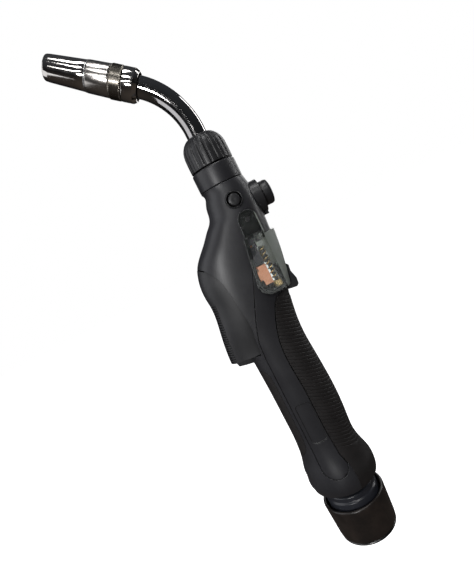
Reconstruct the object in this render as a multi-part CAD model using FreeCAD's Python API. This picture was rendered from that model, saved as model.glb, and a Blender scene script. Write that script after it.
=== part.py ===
import FreeCAD, Part
import os
from math import cos, pi, radians, sin, sqrt

# MIG welding torch of the push-pull kind, with a wire drive inside its handle.
# Frame: millimetres. +Z runs up the handle towards the swan neck, +X is the back of the hand side
# with the speed knob and the clear cover, -X is the trigger side, -Y is the left side.
# The origin is the middle of the cable inlet, on the rear face of the cup.

V = FreeCAD.Vector
X_AXIS = V(1, 0, 0)
Y_AXIS = V(0, 1, 0)
Z_AXIS = V(0, 0, 1)

# ---------------------------------------------------------------- driving dimensions
RUN = 0.05                 # radial running clearance of a pin or shaft
GAP = 0.3                  # clearance between pieces that move past each other

NECK_X = 12.8              # axis of the swan neck, the lock nut and the wire
NECK_R = 7.25              # outside of the neck jacket
NECK_FOOT_Z = 262.0        # where the neck stands in its socket
NECK_BEND_Z = 316.5        # start of the bend
NECK_BEND_R = 52.0         # bend radius of the neck's centre line
NECK_BEND_DEG = 53.13      # bend angle, a 4-3-5 slope

COLLAR_Z = 277.5           # plain collar ring on top of the handle
NUT_Z = 291.0              # lock nut
NUT_TOP_Z = 313.0
COLLAR_R = 15.6
NUT_R = 15.2

WALL = 2.6                 # handle shell wall
PANEL_T = 1.4              # hard side panels let into the shells
RUBBER_T = 1.8             # rubber grips let into the shells
PANEL_SEAM = 0.3           # seam round a hard panel
RUBBER_SEAM = 0.12         # seam round a rubber grip
RECESS = 0.3               # depth of the label recess
TRIGGER_SINK = 1.4         # the trigger's sides lie this far inside the handle's outer skin

BALL_Z = 54.0              # centre of the ball end, and of the cable swivel
BALL_R = 26.3
HANDLE_END_Z = 46.5
HANDLE_TOP_Z = 277.5

BEARING_R = 16.0           # swivel ball
SEAT_R = 21.5              # ring that turns in the handle and holds the ball
CUP_R = 24.0
CUP_RIM_Z = 31.8
INLET_R = 10.0             # bore for the cable

PIVOT_X = 16.4             # pivot of the clear cover
PIVOT_Z = 249.3
EAR_R = 6.4
COVER_T = 1.8
COVER_FLAT_Y = 20.3        # inner face of the cover's flat ears

KNOB_Z = 260.2
BUTTON_X = 14.4
BUTTON_Z = 264.4
TRIGGER_PIN_X = -16.5
TRIGGER_PIN_Z = 227.0

WIRE_R = 0.6
ROLL_Z = 222.0             # height of the drive roll and the pressure roll
DRIVE_ROLL_R = 11.8
DRIVE_ROLL_X = NECK_X - DRIVE_ROLL_R + 0.2
PRESSURE_ROLL_R = 5.2
PRESSURE_ROLL_X = NECK_X + WIRE_R + PRESSURE_ROLL_R + 0.1
ARM_PIN_X = 22.5
ARM_PIN_Z = 238.0
SPRING_X = 17.0
SPRING_Y = -12.0
MOTOR_R = 11.0

# Handle outline as stations up the axis: height, trigger side, back side, half width, squareness.
# A squareness of 2 is an ellipse, and more is a flatter side.
HANDLE = [
    (80.0, -22.2, 21.2, 21.2, 2.2),
    (95.0, -21.4, 21.8, 20.0, 2.4),
    (112.0, -21.5, 22.3, 19.8, 2.5),
    (130.0, -21.7, 21.6, 19.6, 2.5),
    (150.0, -22.3, 20.1, 19.6, 2.5),
    (170.0, -24.2, 19.7, 19.8, 2.5),
    (185.0, -27.6, 21.4, 20.2, 2.5),
    (198.0, -30.6, 23.6, 20.6, 2.6),
    (211.0, -32.5, 26.2, 20.8, 2.6),
    (222.0, -32.2, 28.0, 20.8, 2.6),
    (230.0, -30.2, 28.9, 20.6, 2.6),
    (237.0, -26.4, 29.4, 20.4, 2.6),
    (244.0, -19.9, 29.8, 20.0, 2.6),
    (250.0, -14.2, 30.1, 19.6, 2.5),
    (256.0, -8.6, 30.4, 19.0, 2.4),
    (262.0, -5.0, 30.6, 18.0, 2.3),
    (270.0, -3.2, 30.0, 16.8, 2.1),
    (HANDLE_TOP_Z, -2.9, 28.5, 15.8, 2.0),
]
SECTION_POINTS = 20

# Sections of the trigger up the axis: height, front face, half width.
TRIGGER_FRONT = [
    (159.0, -37.7, 17.0),
    (161.5, -37.4, 17.1),
    (185.0, -34.7, 19.2),
    (207.5, -32.2, 20.5),
    (211.0, -32.5, 20.5),
    (222.0, -32.2, 20.4),
    (230.0, -30.2, 19.5),
    (236.0, -27.2, 19.0),
]
SERRATED_TOP = (207.5, -32.2)
SERRATED_END = (164.2, -37.1)
TEETH = 25
TOOTH_DEPTH = 0.9
HEEL_Z = 163.6              # lower end of the trigger

# Seam between the side panel and the ribbed rubber, from the cover down to the ball.
REAR_LINE = [
    (17.0, 196.0), (11.8, 195.0), (8.6, 191.2), (4.8, 183.0), (2.2, 175.4), (0.2, 167.4), (-0.7, 158.0),
    (-0.4, 146.0), (0.9, 128.0), (1.2, 96.0), (2.6, 76.0),
]

# Shell screws, lying along Y: side view position of each.
SCREWS = [(-17.0, 68.0), (17.0, 68.0), (-10.7, 92.0), (-14.0, 243.0), (24.0, 249.6)]
SCREW_R = 1.25
SCREW_HEAD_R = 2.6
SCREW_HEAD_Y = 6.6
BOSS_R = 2.8


# ---------------------------------------------------------------- helpers
def box(x0, x1, y0, y1, z0, z1):
    return Part.makeBox(x1 - x0, y1 - y0, z1 - z0, V(x0, y0, z0))


def rod(radius, start, end, axis=Z_AXIS, at=(0.0, 0.0)):
    """A cylinder along X, Y or Z from start to end; at gives its two other coordinates in order."""
    if axis == X_AXIS:
        foot = V(start, at[0], at[1])
    elif axis == Y_AXIS:
        foot = V(at[0], start, at[1])
    else:
        foot = V(at[0], at[1], start)
    return Part.makeCylinder(radius, end - start, foot, axis)


def turned(profile, x=0.0, y=0.0):
    """A solid of revolution about a line parallel to Z; the profile is a closed list of (r, z)."""
    points = [V(r, 0, z) for r, z in profile]
    face = Part.Face(Part.makePolygon(points + [points[0]]))
    solid = face.revolve(V(0, 0, 0), Z_AXIS, 360)
    solid.translate(V(x, y, 0))
    return solid


def prism(outline, y0, y1, inset=0.0):
    """An outline of (x, z) points, drawn in by inset, extruded along Y."""
    points = [V(x, y0, z) for x, z in outline]
    face = Part.Face(Part.makePolygon(points + [points[0]]))
    if inset:
        face = face.makeOffset2D(-inset, 2)
    return face.extrude(V(0, y1 - y0, 0))


def export(name, shape):
    shape.exportStep("parts/" + name + ".step")
    print(name, "solids", len(shape.Solids), "volume", round(shape.Volume, 1))


# ---------------------------------------------------------------- handle envelope
def ball_stations():
    """Stations of the ball end, up to where it runs into the grip."""
    stations = []
    for z in (HANDLE_END_Z, 50.0, BALL_Z, 60.0):
        r = sqrt(BALL_R ** 2 - (z - BALL_Z) ** 2)
        stations.append((z, -r, r, r, 2.0))
    stations.append((66.0, -24.9, 23.8, 24.2, 2.0))
    stations.append((72.0, -23.4, 22.2, 22.7, 2.1))
    return stations


def section(z, left, right, half, square, grow_x=0.0, grow_y=0.0):
    """A closed smooth outline at one height, grown outwards or, with negative values, inwards."""
    middle = (left + right) / 2.0
    a = (right - left) / 2.0 + grow_x
    b = half + grow_y
    points = []
    for k in range(SECTION_POINTS):
        t = 2.0 * pi * (k + 0.5) / SECTION_POINTS
        c = cos(t)
        s = sin(t)
        x = middle + a * abs(c) ** (2.0 / square) * (1 if c > 0 else -1)
        y = b * abs(s) ** (2.0 / square) * (1 if s > 0 else -1)
        points.append(V(x, y, z))
    steps = [float(k) for k in range(SECTION_POINTS + 1)]
    curve = Part.BSplineCurve()
    curve.interpolate(Points=points, PeriodicFlag=True, Parameters=steps)
    return Part.Wire(curve.toShape())


def envelope(grow_x=0.0, grow_y=None, squarer=0.0, stations=None):
    """The handle's outer skin as one smooth solid, grown by the given amounts."""
    if grow_y is None:
        grow_y = grow_x
    if stations is None:
        stations = ball_stations() + HANDLE
    wires = [section(z, l, r, h, n + squarer, grow_x, grow_y) for z, l, r, h, n in stations]
    return Part.makeLoft(wires, True, False)


def stretched(stations, down, up):
    """The same stations with the first and the last moved apart, so that a cavity runs right through."""
    first = (stations[0][0] - down,) + stations[0][1:]
    last = (stations[-1][0] + up,) + stations[-1][1:]
    return [first] + stations + [last]


# ---------------------------------------------------------------- outlines on the side of the handle
def arc_points(cx, cz, radius, start_deg, end_deg, count):
    step = (end_deg - start_deg) / count
    angles = [radians(start_deg + step * k) for k in range(count + 1)]
    return [(cx + radius * cos(a), cz + radius * sin(a)) for a in angles]


def cover_outline(inset=0.0):
    """Side view of the clear cover: round ears at the pivot, open over the back, round lower corner."""
    ear = arc_points(PIVOT_X, PIVOT_Z, EAR_R - inset, 0, 180, 10)
    corner = arc_points(13.0, 208.0, 10.2 - inset, 192, 268, 6)
    low = 197.6 + inset
    right = PIVOT_X + EAR_R - inset
    back = [(20.0, low), (50.0, low), (50.0, 236.6 - inset), (right, 236.6 - inset)]
    return ear + corner + back


def trigger_seam(shift=0.0):
    """Edge of the shells beside the trigger, from the front at the top down to the trigger's heel."""
    return [
        (-40.0, 235.6), (-29.0, 234.6), (-24.3 + shift, 231.8), (-21.9 + shift, 229.2),
        (-19.8 + shift, 226.1), (-18.0 + shift, 222.5), (-16.6 + shift, 217.7), (-15.3 + shift, 208.4),
        (-14.2 + shift, 198.7), (-13.2 + shift, 190.0), (-12.9 + shift, 182.0), (-14.0 + shift, 174.0),
        (-14.6 + shift, 167.0), (-15.4 + shift, HEEL_Z - 0.6), (-44.0, HEEL_Z - 0.6),
    ]


def grip_region():
    """Back of the hand side, covered by the ribbed rubber."""
    foot = [(5.4, 66.0), (6.4, 56.0), (5.4, 44.0), (50.0, 44.0)]
    return [(50.0, 196.0)] + REAR_LINE + foot


def panel_region():
    """Hard side panel, from under the edge of the clear cover down to a round end on the ball."""
    end = arc_points(-4.6, 69.5, 9.6, 190, 350, 8)
    top = [(12.7, 199.0), (9.9, 199.5), (6.6, 201.6), (4.2, 206.1), (4.3, 208.0), (6.1, 218.0), (4.6, 218.6)]
    front = [
        (0.2, 207.6), (-3.7, 198.5), (-8.1, 187.8), (-11.0, 179.4), (-13.1, 171.8), (-13.9, 160.0),
        (-13.8, 120.0), (-13.8, 84.0),
    ]
    return top + front + end + REAR_LINE[::-1]


def front_grip_region():
    """Rubber strip down the trigger side of the grip."""
    return [
        (-50.0, 151.0), (-19.0, 151.0), (-16.4, 147.0), (-15.8, 138.0), (-15.8, 92.0),
        (-17.6, 84.0), (-21.0, 79.0), (-50.0, 79.0),
    ]


def label_region():
    """Round-cornered recess on the side panel."""
    top = arc_points(-8.6, 117.6, 2.4, 180, 90, 4) + arc_points(-2.6, 117.6, 2.4, 90, 0, 4)
    foot = arc_points(-2.6, 91.4, 2.4, 0, -90, 4) + arc_points(-8.6, 91.4, 2.4, -90, -180, 4)
    return top + foot


def ring_around(outer, inner, region, inset=0.0):
    """The part of a thin skin between two envelopes that lies inside a side-view outline."""
    return outer.cut(inner).common(prism(region, -40.0, 40.0, inset))


# ---------------------------------------------------------------- casing
def make_casing():
    outer = envelope()
    stations = stretched(ball_stations() + HANDLE, 6.0, 6.0)
    cavity = envelope(-WALL, stations=stations)
    under_rubber = envelope(-RUBBER_T)
    under_panel = envelope(-PANEL_T)

    body = outer.cut(cavity)
    body = body.cut(ring_around(outer, under_rubber, grip_region()))
    body = body.cut(ring_around(outer, under_rubber, front_grip_region()))
    body = body.cut(ring_around(outer, under_panel, panel_region()))

    rib_grip = ring_around(outer, under_rubber, grip_region(), RUBBER_SEAM)
    front_grip = ring_around(outer, under_rubber, front_grip_region(), RUBBER_SEAM)
    panels = ring_around(outer, under_panel, panel_region(), PANEL_SEAM)
    panels = panels.cut(ring_around(outer, envelope(-RECESS), label_region()))
    left_panel = panels.common(box(-60, 60, -40, -2, 30, 300))
    right_panel = panels.common(box(-60, 60, 2, 40, 30, 300))
    rib_grip = rib_grip.cut(box(15.0, 60.0, -8.6, 8.6, 189.0, 212.6))

    # a lip under the trigger's lower end, and pads under the ears of the cover
    lip = prism([(-33.4, 162.6), (-32.6, 160.0), (-27.4, 158.8), (-22.6, 158.0), (-20.0, 154.0),
                 (-18.0, 154.0), (-18.0, 162.6)], -7, 7)
    body = body.fuse(lip)
    for side in (-1, 1):
        pad_foot = 15.6
        pad_top = COVER_FLAT_Y - GAP
        low, high = sorted((side * pad_foot, side * pad_top))
        pad = rod(EAR_R - 0.4, low, high, Y_AXIS, (PIVOT_X, PIVOT_Z))
        tongue = prism([(10.9, 249.0), (11.2, 241.4), (13.2, 239.4), (19.4, 239.4), (21.6, 241.4),
                        (21.9, 249.0)], low, high)
        body = body.fuse(pad).fuse(tongue)

    # thread bosses for the shell screws
    for x, z in SCREWS:
        boss = rod(BOSS_R, -19, 19, Y_AXIS, (x, z)).common(under_rubber)
        body = body.fuse(boss)

    # bearing for the swivel seat ring
    bearing = turned([(19.0, HANDLE_END_Z), (24.0, HANDLE_END_Z), (24.0, 63.5), (19.0, 63.5),
                      (19.0, 60.4), (SEAT_R + RUN, 60.4), (SEAT_R + RUN, 47.6), (19.0, 47.6)])
    body = body.fuse(bearing.common(under_rubber))

    # window under the clear cover, kept whole where the latch sits
    window = prism(cover_outline(2.4), -40, 40).common(box(-60, 60, -40, 40, 150, 237.6))
    window = window.cut(box(-60, 60, -9.6, 9.6, 150, 212.5))
    body = body.cut(window)

    # opening and side pockets for the trigger
    pocket = envelope(-TRIGGER_SINK + GAP).common(box(-60, -5, -40, 40, HEEL_Z - 0.6, 237.0))
    body = body.cut(prism(trigger_seam(), -40, 40)).cut(pocket.common(prism(trigger_seam(9.0), -40, 40)))

    # seats for the knob base, the button ring, the latch and the pins
    body = body.cut(rod(11.5, 27.0, 45.0, X_AXIS, (0.0, KNOB_Z)))
    body = body.cut(rod(5.8, -30.0, -14.9, Y_AXIS, (BUTTON_X, BUTTON_Z)))
    body = body.cut(rod(5.7, -15.0, -12.4, Y_AXIS, (BUTTON_X, BUTTON_Z)))
    body = body.cut(box(15.0, 45.0, -8.6, 8.6, 189.0, 212.6))
    body = body.cut(rod(1.5, -18.6, 18.6, Y_AXIS, (TRIGGER_PIN_X, TRIGGER_PIN_Z)))
    body = body.cut(rod(1.5, -25, 25, Y_AXIS, (PIVOT_X, PIVOT_Z)))
    for x, z in SCREWS:
        body = body.cut(rod(SCREW_R, -12, 25, Y_AXIS, (x, z)))
        body = body.cut(rod(SCREW_HEAD_R, SCREW_HEAD_Y, 40, Y_AXIS, (x, z)))

    left = body.common(box(-60, 60, -40, 0, 0, 300))
    right = body.common(box(-60, 60, 0, 40, 0, 300))
    export("left_shell", left)
    export("right_shell", right)
    export("rib_grip", rib_grip)
    export("front_grip", front_grip)
    export("left_side_panel", left_panel)
    export("right_side_panel", right_panel)


def make_shell_screws():
    screws = []
    for x, z in SCREWS:
        shank = rod(SCREW_R, -10.0, SCREW_HEAD_Y, Y_AXIS, (x, z))
        head = rod(SCREW_HEAD_R, SCREW_HEAD_Y, SCREW_HEAD_Y + 1.8, Y_AXIS, (x, z))
        drive = rod(1.0, SCREW_HEAD_Y + 0.8, SCREW_HEAD_Y + 2.0, Y_AXIS, (x, z))
        screws.append(shank.fuse(head).removeSplitter().cut(drive))
    export("shell_screws", Part.makeCompound(screws))


# ---------------------------------------------------------------- swan neck and its clamping
def neck_direction():
    a = radians(NECK_BEND_DEG)
    return V(-sin(a), 0, cos(a))


def neck_end():
    a = radians(NECK_BEND_DEG)
    return V(NECK_X - NECK_BEND_R * (1 - cos(a)), 0, NECK_BEND_Z + NECK_BEND_R * sin(a))


def neck_tube(outer, inner, foot_z, beyond):
    """A bent tube on the neck's centre line, from foot_z to a length beyond the end of the bend."""
    end = neck_end()
    direction = neck_direction()
    middle = V(NECK_X - NECK_BEND_R, 0, NECK_BEND_Z)
    half = radians(NECK_BEND_DEG / 2.0)
    knee = middle + V(NECK_BEND_R * cos(half), 0, NECK_BEND_R * sin(half))
    start = V(NECK_X, 0, NECK_BEND_Z)
    edges = [
        Part.LineSegment(V(NECK_X, 0, foot_z), start).toShape(),
        Part.Arc(start, knee, end).toShape(),
        Part.LineSegment(end, end + direction * beyond).toShape(),
    ]
    path = Part.Wire(edges)
    solids = []
    for radius in (outer, inner):
        circle = Part.Wire(Part.makeCircle(radius, V(NECK_X, 0, foot_z), Z_AXIS))
        solids.append(path.makePipeShell([circle], True, False))
    return solids[0].cut(solids[1])


def on_nozzle(shape):
    """Moves a piece built up from the origin along Z to the end of the neck."""
    shape = shape.copy()
    shape.Placement = FreeCAD.Placement(neck_end(), FreeCAD.Rotation(Z_AXIS, neck_direction()))
    return shape


def make_neck():
    export("swan_neck", neck_tube(NECK_R, 6.1, NECK_FOOT_Z, 8.0))
    export("neck_insulation", neck_tube(6.1, 5.2, NECK_FOOT_Z - 1.0, 9.0))
    export("neck_conductor", neck_tube(5.2, 3.1, NECK_FOOT_Z - 8.0, 12.0))
    export("wire_liner", neck_tube(2.4, 1.0, NECK_FOOT_Z - 6.0, 26.0))

    nut = turned([(NECK_R, 5.0), (8.8, 5.0), (8.8, -0.6), (9.6, -0.6), (10.9, 1.8), (10.9, 9.1), (NECK_R, 9.1)])
    for k in range(6):
        slot = box(8.0, 14.0, -1.1, 1.1, -1.0, 2.2)
        slot.rotate(V(0, 0, 0), Z_AXIS, 60.0 * k + 30.0)
        nut = nut.cut(slot)
    export("nozzle_nut", on_nozzle(nut))
    export("nozzle_insulator", on_nozzle(turned([(6.2, 9.1), (8.5, 9.1), (8.5, 25.0), (6.2, 25.0)])))
    export("gas_diffuser", on_nozzle(make_diffuser()))
    tip = turned([(0.65, 27.0), (2.6, 27.0), (2.6, 33.0), (4.0, 33.0), (4.0, 51.0), (2.8, 57.0), (0.65, 57.0)])
    export("contact_tip", on_nozzle(tip))


def make_diffuser():
    """Brass holder of the contact tip, with a ring of gas holes."""
    holder = turned([(5.2, 9.1), (6.2, 9.1), (6.2, 26.0), (5.0, 28.0), (5.0, 33.0), (2.6, 33.0),
                     (2.6, 26.0), (2.4, 26.0), (2.4, 13.0), (5.2, 13.0)])
    for k in range(8):
        hole = Part.makeCylinder(0.9, 9.0, V(0, 0, 29.5), X_AXIS)
        hole.rotate(V(0, 0, 0), Z_AXIS, 45.0 * k)
        holder = holder.cut(hole)
    return holder


def make_nozzle():
    bore = 8.5 + 0.08
    collar = turned([(bore, 9.4), (10.6, 9.4), (11.0, 9.8), (11.0, 17.2), (10.6, 17.6), (bore, 17.6)])
    for k in range(36):
        groove = box(10.75, 12.0, -0.3, 0.3, 9.0, 18.0)
        groove.rotate(V(0, 0, 0), Z_AXIS, 10.0 * k)
        collar = collar.cut(groove)
    export("knurled_collar", on_nozzle(collar))
    body = turned([(bore, 17.6), (10.2, 17.6), (10.5, 18.2), (10.1, 31.6), (9.8, 32.0), (bore, 32.0)])
    export("nozzle_body", on_nozzle(body))
    export("nozzle_ring", on_nozzle(turned([(bore, 32.0), (9.95, 32.0), (9.95, 33.0), (bore, 33.0)])))
    cone = turned([(8.2, 33.0), (9.7, 33.0), (8.3, 57.6), (8.15, 59.2), (7.2, 59.2), (6.9, 58.8),
                   (6.9, 47.0), (8.2, 40.0)])
    export("gas_nozzle", on_nozzle(cone))


def make_neck_clamp():
    nut = turned([
        (11.2, NUT_Z + 0.7), (NUT_R, NUT_Z + 0.7), (NUT_R, 303.0), (14.6, 306.6), (13.0, 309.6),
        (10.4, 312.2), (8.8, NUT_TOP_Z), (7.7, NUT_TOP_Z), (7.7, 306.0), (11.2, 306.0),
    ], NECK_X)
    for k in range(20):
        angle = 18.0 * k
        flute = rod(1.0, NUT_Z, 308.0, Z_AXIS, (NECK_X + NUT_R + 0.4, 0))
        flute.rotate(V(NECK_X, 0, 0), Z_AXIS, angle)
        nut = nut.cut(flute)
    export("neck_lock_nut", nut)

    collar = turned([(NECK_R + 0.35, COLLAR_Z), (COLLAR_R - 0.4, COLLAR_Z), (COLLAR_R, COLLAR_Z + 0.6),
                     (COLLAR_R, NUT_Z - 0.6), (COLLAR_R - 0.5, NUT_Z), (10.8, NUT_Z), (10.8, 305.2),
                     (NECK_R + 0.35, 305.2)], NECK_X)
    export("neck_collar", collar)
    socket = turned([(5.25, 252.0), (8.4, 252.0), (8.4, 256.0), (9.8, 256.0), (9.8, COLLAR_Z),
                     (NECK_R + RUN, COLLAR_Z), (NECK_R + RUN, 260.5), (5.25, 260.5)], NECK_X)
    export("neck_socket", socket)


# ---------------------------------------------------------------- controls
def make_controls():
    # speed knob on its base, with the potentiometer inside
    base = rod(11.5, 27.0, 34.2, X_AXIS, (0.0, KNOB_Z))
    base = base.fuse(box(30.6, 33.6, -3.0, 3.0, 246.6, 251.0)).removeSplitter()
    base = base.cut(rod(3.0 + RUN, 20.0, 40.0, X_AXIS, (0.0, KNOB_Z)))
    export("knob_base", base)
    knob = rod(8.6, 34.5, 40.2, X_AXIS, (0.0, KNOB_Z))
    knob = knob.fuse(Part.makeCone(8.6, 7.4, 1.2, V(40.2, 0, KNOB_Z), X_AXIS))
    knob = knob.cut(rod(3.0, 30.0, 39.0, X_AXIS, (0.0, KNOB_Z)))
    export("speed_knob", knob)
    export("knob_shaft", rod(3.0, 26.2, 39.0, X_AXIS, (0.0, KNOB_Z)))
    export("potentiometer", rod(7.0, 23.0, 25.9, X_AXIS, (0.0, KNOB_Z)))

    # push button in a ring on the left side
    ring = rod(5.8, -19.0, -15.2, Y_AXIS, (BUTTON_X, BUTTON_Z))
    export("button_ring", ring.cut(rod(4.9, -20, -10, Y_AXIS, (BUTTON_X, BUTTON_Z))))
    button = rod(3.9, -19.8, -14.0, Y_AXIS, (BUTTON_X, BUTTON_Z))
    flange = rod(5.4, -14.9, -14.0, Y_AXIS, (BUTTON_X, BUTTON_Z))
    export("side_button", button.fuse(flange).removeSplitter())
    export("button_switch", box(BUTTON_X - 4, BUTTON_X + 4, -12.3, -10.2, BUTTON_Z - 4, BUTTON_Z + 4))


def trigger_stations(grow_x, grow_y):
    """Sections of the trigger, with its front face running out to the serrated end."""
    return [section(z, front, 30.0, half, 2.6, grow_x, grow_y) for z, front, half in TRIGGER_FRONT]


def make_trigger():
    outer = Part.makeLoft(trigger_stations(0.0, -TRIGGER_SINK), True, False)
    inner = Part.makeLoft(trigger_stations(-2.2, -TRIGGER_SINK - 1.8), True, False)
    side = [
        (-45.0, 234.2), (-28.4, 233.4), (-24.6, 231.0), (-16.0, 231.0), (-12.4, 227.0), (-10.4, 215.0),
        (-9.4, 200.0), (-9.6, 178.0), (-12.0, HEEL_Z), (-45.0, HEEL_Z),
    ]
    body = outer.cut(inner).common(prism(side, -30, 30))

    # rib that works the switch, and bosses on the pin
    rib = prism([(-31.5, 200.0), (-22.2, 198.0), (-22.2, 194.0), (-32.0, 190.0)], -2.0, 2.0)
    body = body.fuse(rib)
    for y0 in (-15.0, 12.0):
        body = body.fuse(rod(3.2, y0, y0 + 3.0, Y_AXIS, (TRIGGER_PIN_X, TRIGGER_PIN_Z)))
    body = body.cut(rod(1.5 + RUN, -30, 30, Y_AXIS, (TRIGGER_PIN_X, TRIGGER_PIN_Z)))

    # serrated front: grooves across the finger's path, following the round of the front
    core = Part.makeLoft(trigger_stations(-TOOTH_DEPTH, -TRIGGER_SINK - TOOTH_DEPTH), True, False)
    z0, x0 = SERRATED_TOP
    z1, x1 = SERRATED_END
    slabs = []
    for k in range(TEETH):
        f = (k + 0.5) / TEETH
        z = z0 + (z1 - z0) * f
        edge = x0 + (x1 - x0) * f + 4.4
        half = 0.27 * (z0 - z1) / TEETH
        slabs.append(box(-50.0, edge, -30, 30, z - half, z + half))
    body = body.cut(outer.cut(core).common(Part.makeCompound(slabs)))
    export("trigger", body)
    pin = rod(1.5, -18.5, 18.5, Y_AXIS, (TRIGGER_PIN_X, TRIGGER_PIN_Z))
    export("trigger_pin", pin)
    export("trigger_switch", box(-20.0, -13.6, -3.2, 3.2, 186.0, 206.0))
    coil = rod(2.6, -27.0, -14.0, X_AXIS, (0.0, 176.0)).cut(rod(1.9, -28.0, -13.0, X_AXIS, (0.0, 176.0)))
    export("trigger_spring", coil)


# ---------------------------------------------------------------- clear cover
def make_cover():
    outer = envelope(GAP + COVER_T, squarer=0.4)
    inner = envelope(GAP, squarer=0.4)
    wrap = outer.cut(inner).common(prism(cover_outline(), -40, 40))
    wrap = wrap.cut(box(-60, 60, -40, 40, 239.0, 300))
    cover = wrap
    ear_shape = prism(arc_points(PIVOT_X, PIVOT_Z, EAR_R, 0, 180, 16) + [
        (10.0, 246.0), (9.6, 241.0), (9.0, 238.0), (PIVOT_X + EAR_R, 238.0)], -30, 30)
    for side in (-1, 1):
        low, high = sorted((side * COVER_FLAT_Y, side * (COVER_FLAT_Y + COVER_T)))
        cover = cover.fuse(ear_shape.common(box(-60, 60, low, high, 200, 300)))
    cover = cover.cut(rod(1.5 + RUN, -40, 40, Y_AXIS, (PIVOT_X, PIVOT_Z)))
    cover = cover.cut(box(15.0, 60.0, -8.9, 8.9, 180.0, 211.6))
    export("drive_cover", cover)
    pins = []
    for side in (-1, 1):
        low, high = sorted((side * 16.0, side * 22.2))
        pins.append(rod(1.5, low, high, Y_AXIS, (PIVOT_X, PIVOT_Z)))
    export("cover_pins", Part.makeCompound(pins))


def make_latch():
    wedge = prism([(20.0, 209.6), (28.2, 210.8), (29.4, 209.4), (28.9, 205.0), (30.6, 199.0), (30.2, 194.6),
                   (28.4, 193.2), (24.0, 193.8), (20.0, 194.6)], -8.2, 8.2)
    export("cover_latch", wedge)


# ---------------------------------------------------------------- wire drive
def make_drive():
    shaft = rod(3.0, -7.0, 10.0, Y_AXIS, (DRIVE_ROLL_X, ROLL_Z))
    export("roll_shaft", shaft)
    profile = [(3.0, -4.0), (DRIVE_ROLL_R - 0.5, -4.0), (DRIVE_ROLL_R, -3.5), (DRIVE_ROLL_R, -1.0),
               (DRIVE_ROLL_R - 0.8, 0.0), (DRIVE_ROLL_R, 1.0), (DRIVE_ROLL_R, 3.5),
               (DRIVE_ROLL_R - 0.5, 4.0), (3.0, 4.0)]
    export("drive_roll", lay_on_y(turned(profile), DRIVE_ROLL_X, ROLL_Z))
    screw = rod(4.4, -9.4, -7.0, Y_AXIS, (DRIVE_ROLL_X, ROLL_Z))
    slot = box(DRIVE_ROLL_X - 5, DRIVE_ROLL_X + 5, -10.0, -8.6, ROLL_Z - 0.6, ROLL_Z + 0.6)
    export("roll_screw", screw.cut(slot))

    profile = [(1.5 + RUN, -3.6), (PRESSURE_ROLL_R, -3.6), (PRESSURE_ROLL_R, 3.6), (1.5 + RUN, 3.6)]
    export("pressure_roll", lay_on_y(turned(profile), PRESSURE_ROLL_X, ROLL_Z))
    make_pressure_arm()

    wire_hole = rod(1.0, 190.0, 260.0, Z_AXIS, (NECK_X, 0))
    guides = []
    for z0, z1 in ((199.0, 209.6), (233.6, 251.8)):
        guides.append(rod(2.2, z0, z1, Z_AXIS, (NECK_X, 0)).cut(wire_hole))
    export("wire_guides", Part.makeCompound(guides))

    screw = rod(3.0, 200.4, 204.6, Z_AXIS, (SPRING_X, SPRING_Y))
    for k in range(14):
        groove = rod(0.35, 200.0, 205.0, Z_AXIS, (SPRING_X + 3.05, SPRING_Y))
        groove.rotate(V(SPRING_X, SPRING_Y, 0), Z_AXIS, 360.0 / 14 * k)
        screw = screw.cut(groove)
    stem = rod(1.1, 204.6, 228.6, Z_AXIS, (SPRING_X, SPRING_Y))
    export("tension_screw", screw.fuse(stem).removeSplitter())
    coil = rod(2.1, 205.0, 229.0, Z_AXIS, (SPRING_X, SPRING_Y))
    export("tension_spring", coil.cut(rod(1.4, 200.0, 232.0, Z_AXIS, (SPRING_X, SPRING_Y))))


def lay_on_y(shape, x, z):
    """Turns a piece built about Z so that it lies about a line parallel to Y."""
    shape = shape.copy()
    shape.rotate(V(0, 0, 0), X_AXIS, 90)
    shape.translate(V(x, 0, z))
    return shape


def make_pressure_arm():
    cheek = [(18.0, 234.6), (19.6, 240.6), (24.4, 240.6), (25.3, 236.0), (25.3, 222.0), (23.6, 214.6),
             (20.0, 214.6), (16.6, 219.0), (16.6, 225.0)]
    arm = prism(cheek, -6.4, 6.4)
    arm = arm.cut(prism([(10.0, 210.0), (22.6, 210.0), (24.2, 222.0), (24.2, 229.6), (10.0, 229.6)], -4.0, 4.0))
    seat = box(14.9, 20.0, -14.4, -6.0, 230.0, 233.4)
    arm = arm.fuse(seat).removeSplitter()
    arm = arm.cut(rod(1.5 + RUN, -20, 20, Y_AXIS, (ARM_PIN_X, ARM_PIN_Z)))
    arm = arm.cut(rod(1.5, -20, 20, Y_AXIS, (PRESSURE_ROLL_X, ROLL_Z)))
    export("pressure_arm", arm)
    export("pressure_roll_pin", rod(1.5, -6.4, 6.4, Y_AXIS, (PRESSURE_ROLL_X, ROLL_Z)))
    export("arm_pin", rod(1.5, -9.4, 9.4, Y_AXIS, (ARM_PIN_X, ARM_PIN_Z)))


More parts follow.
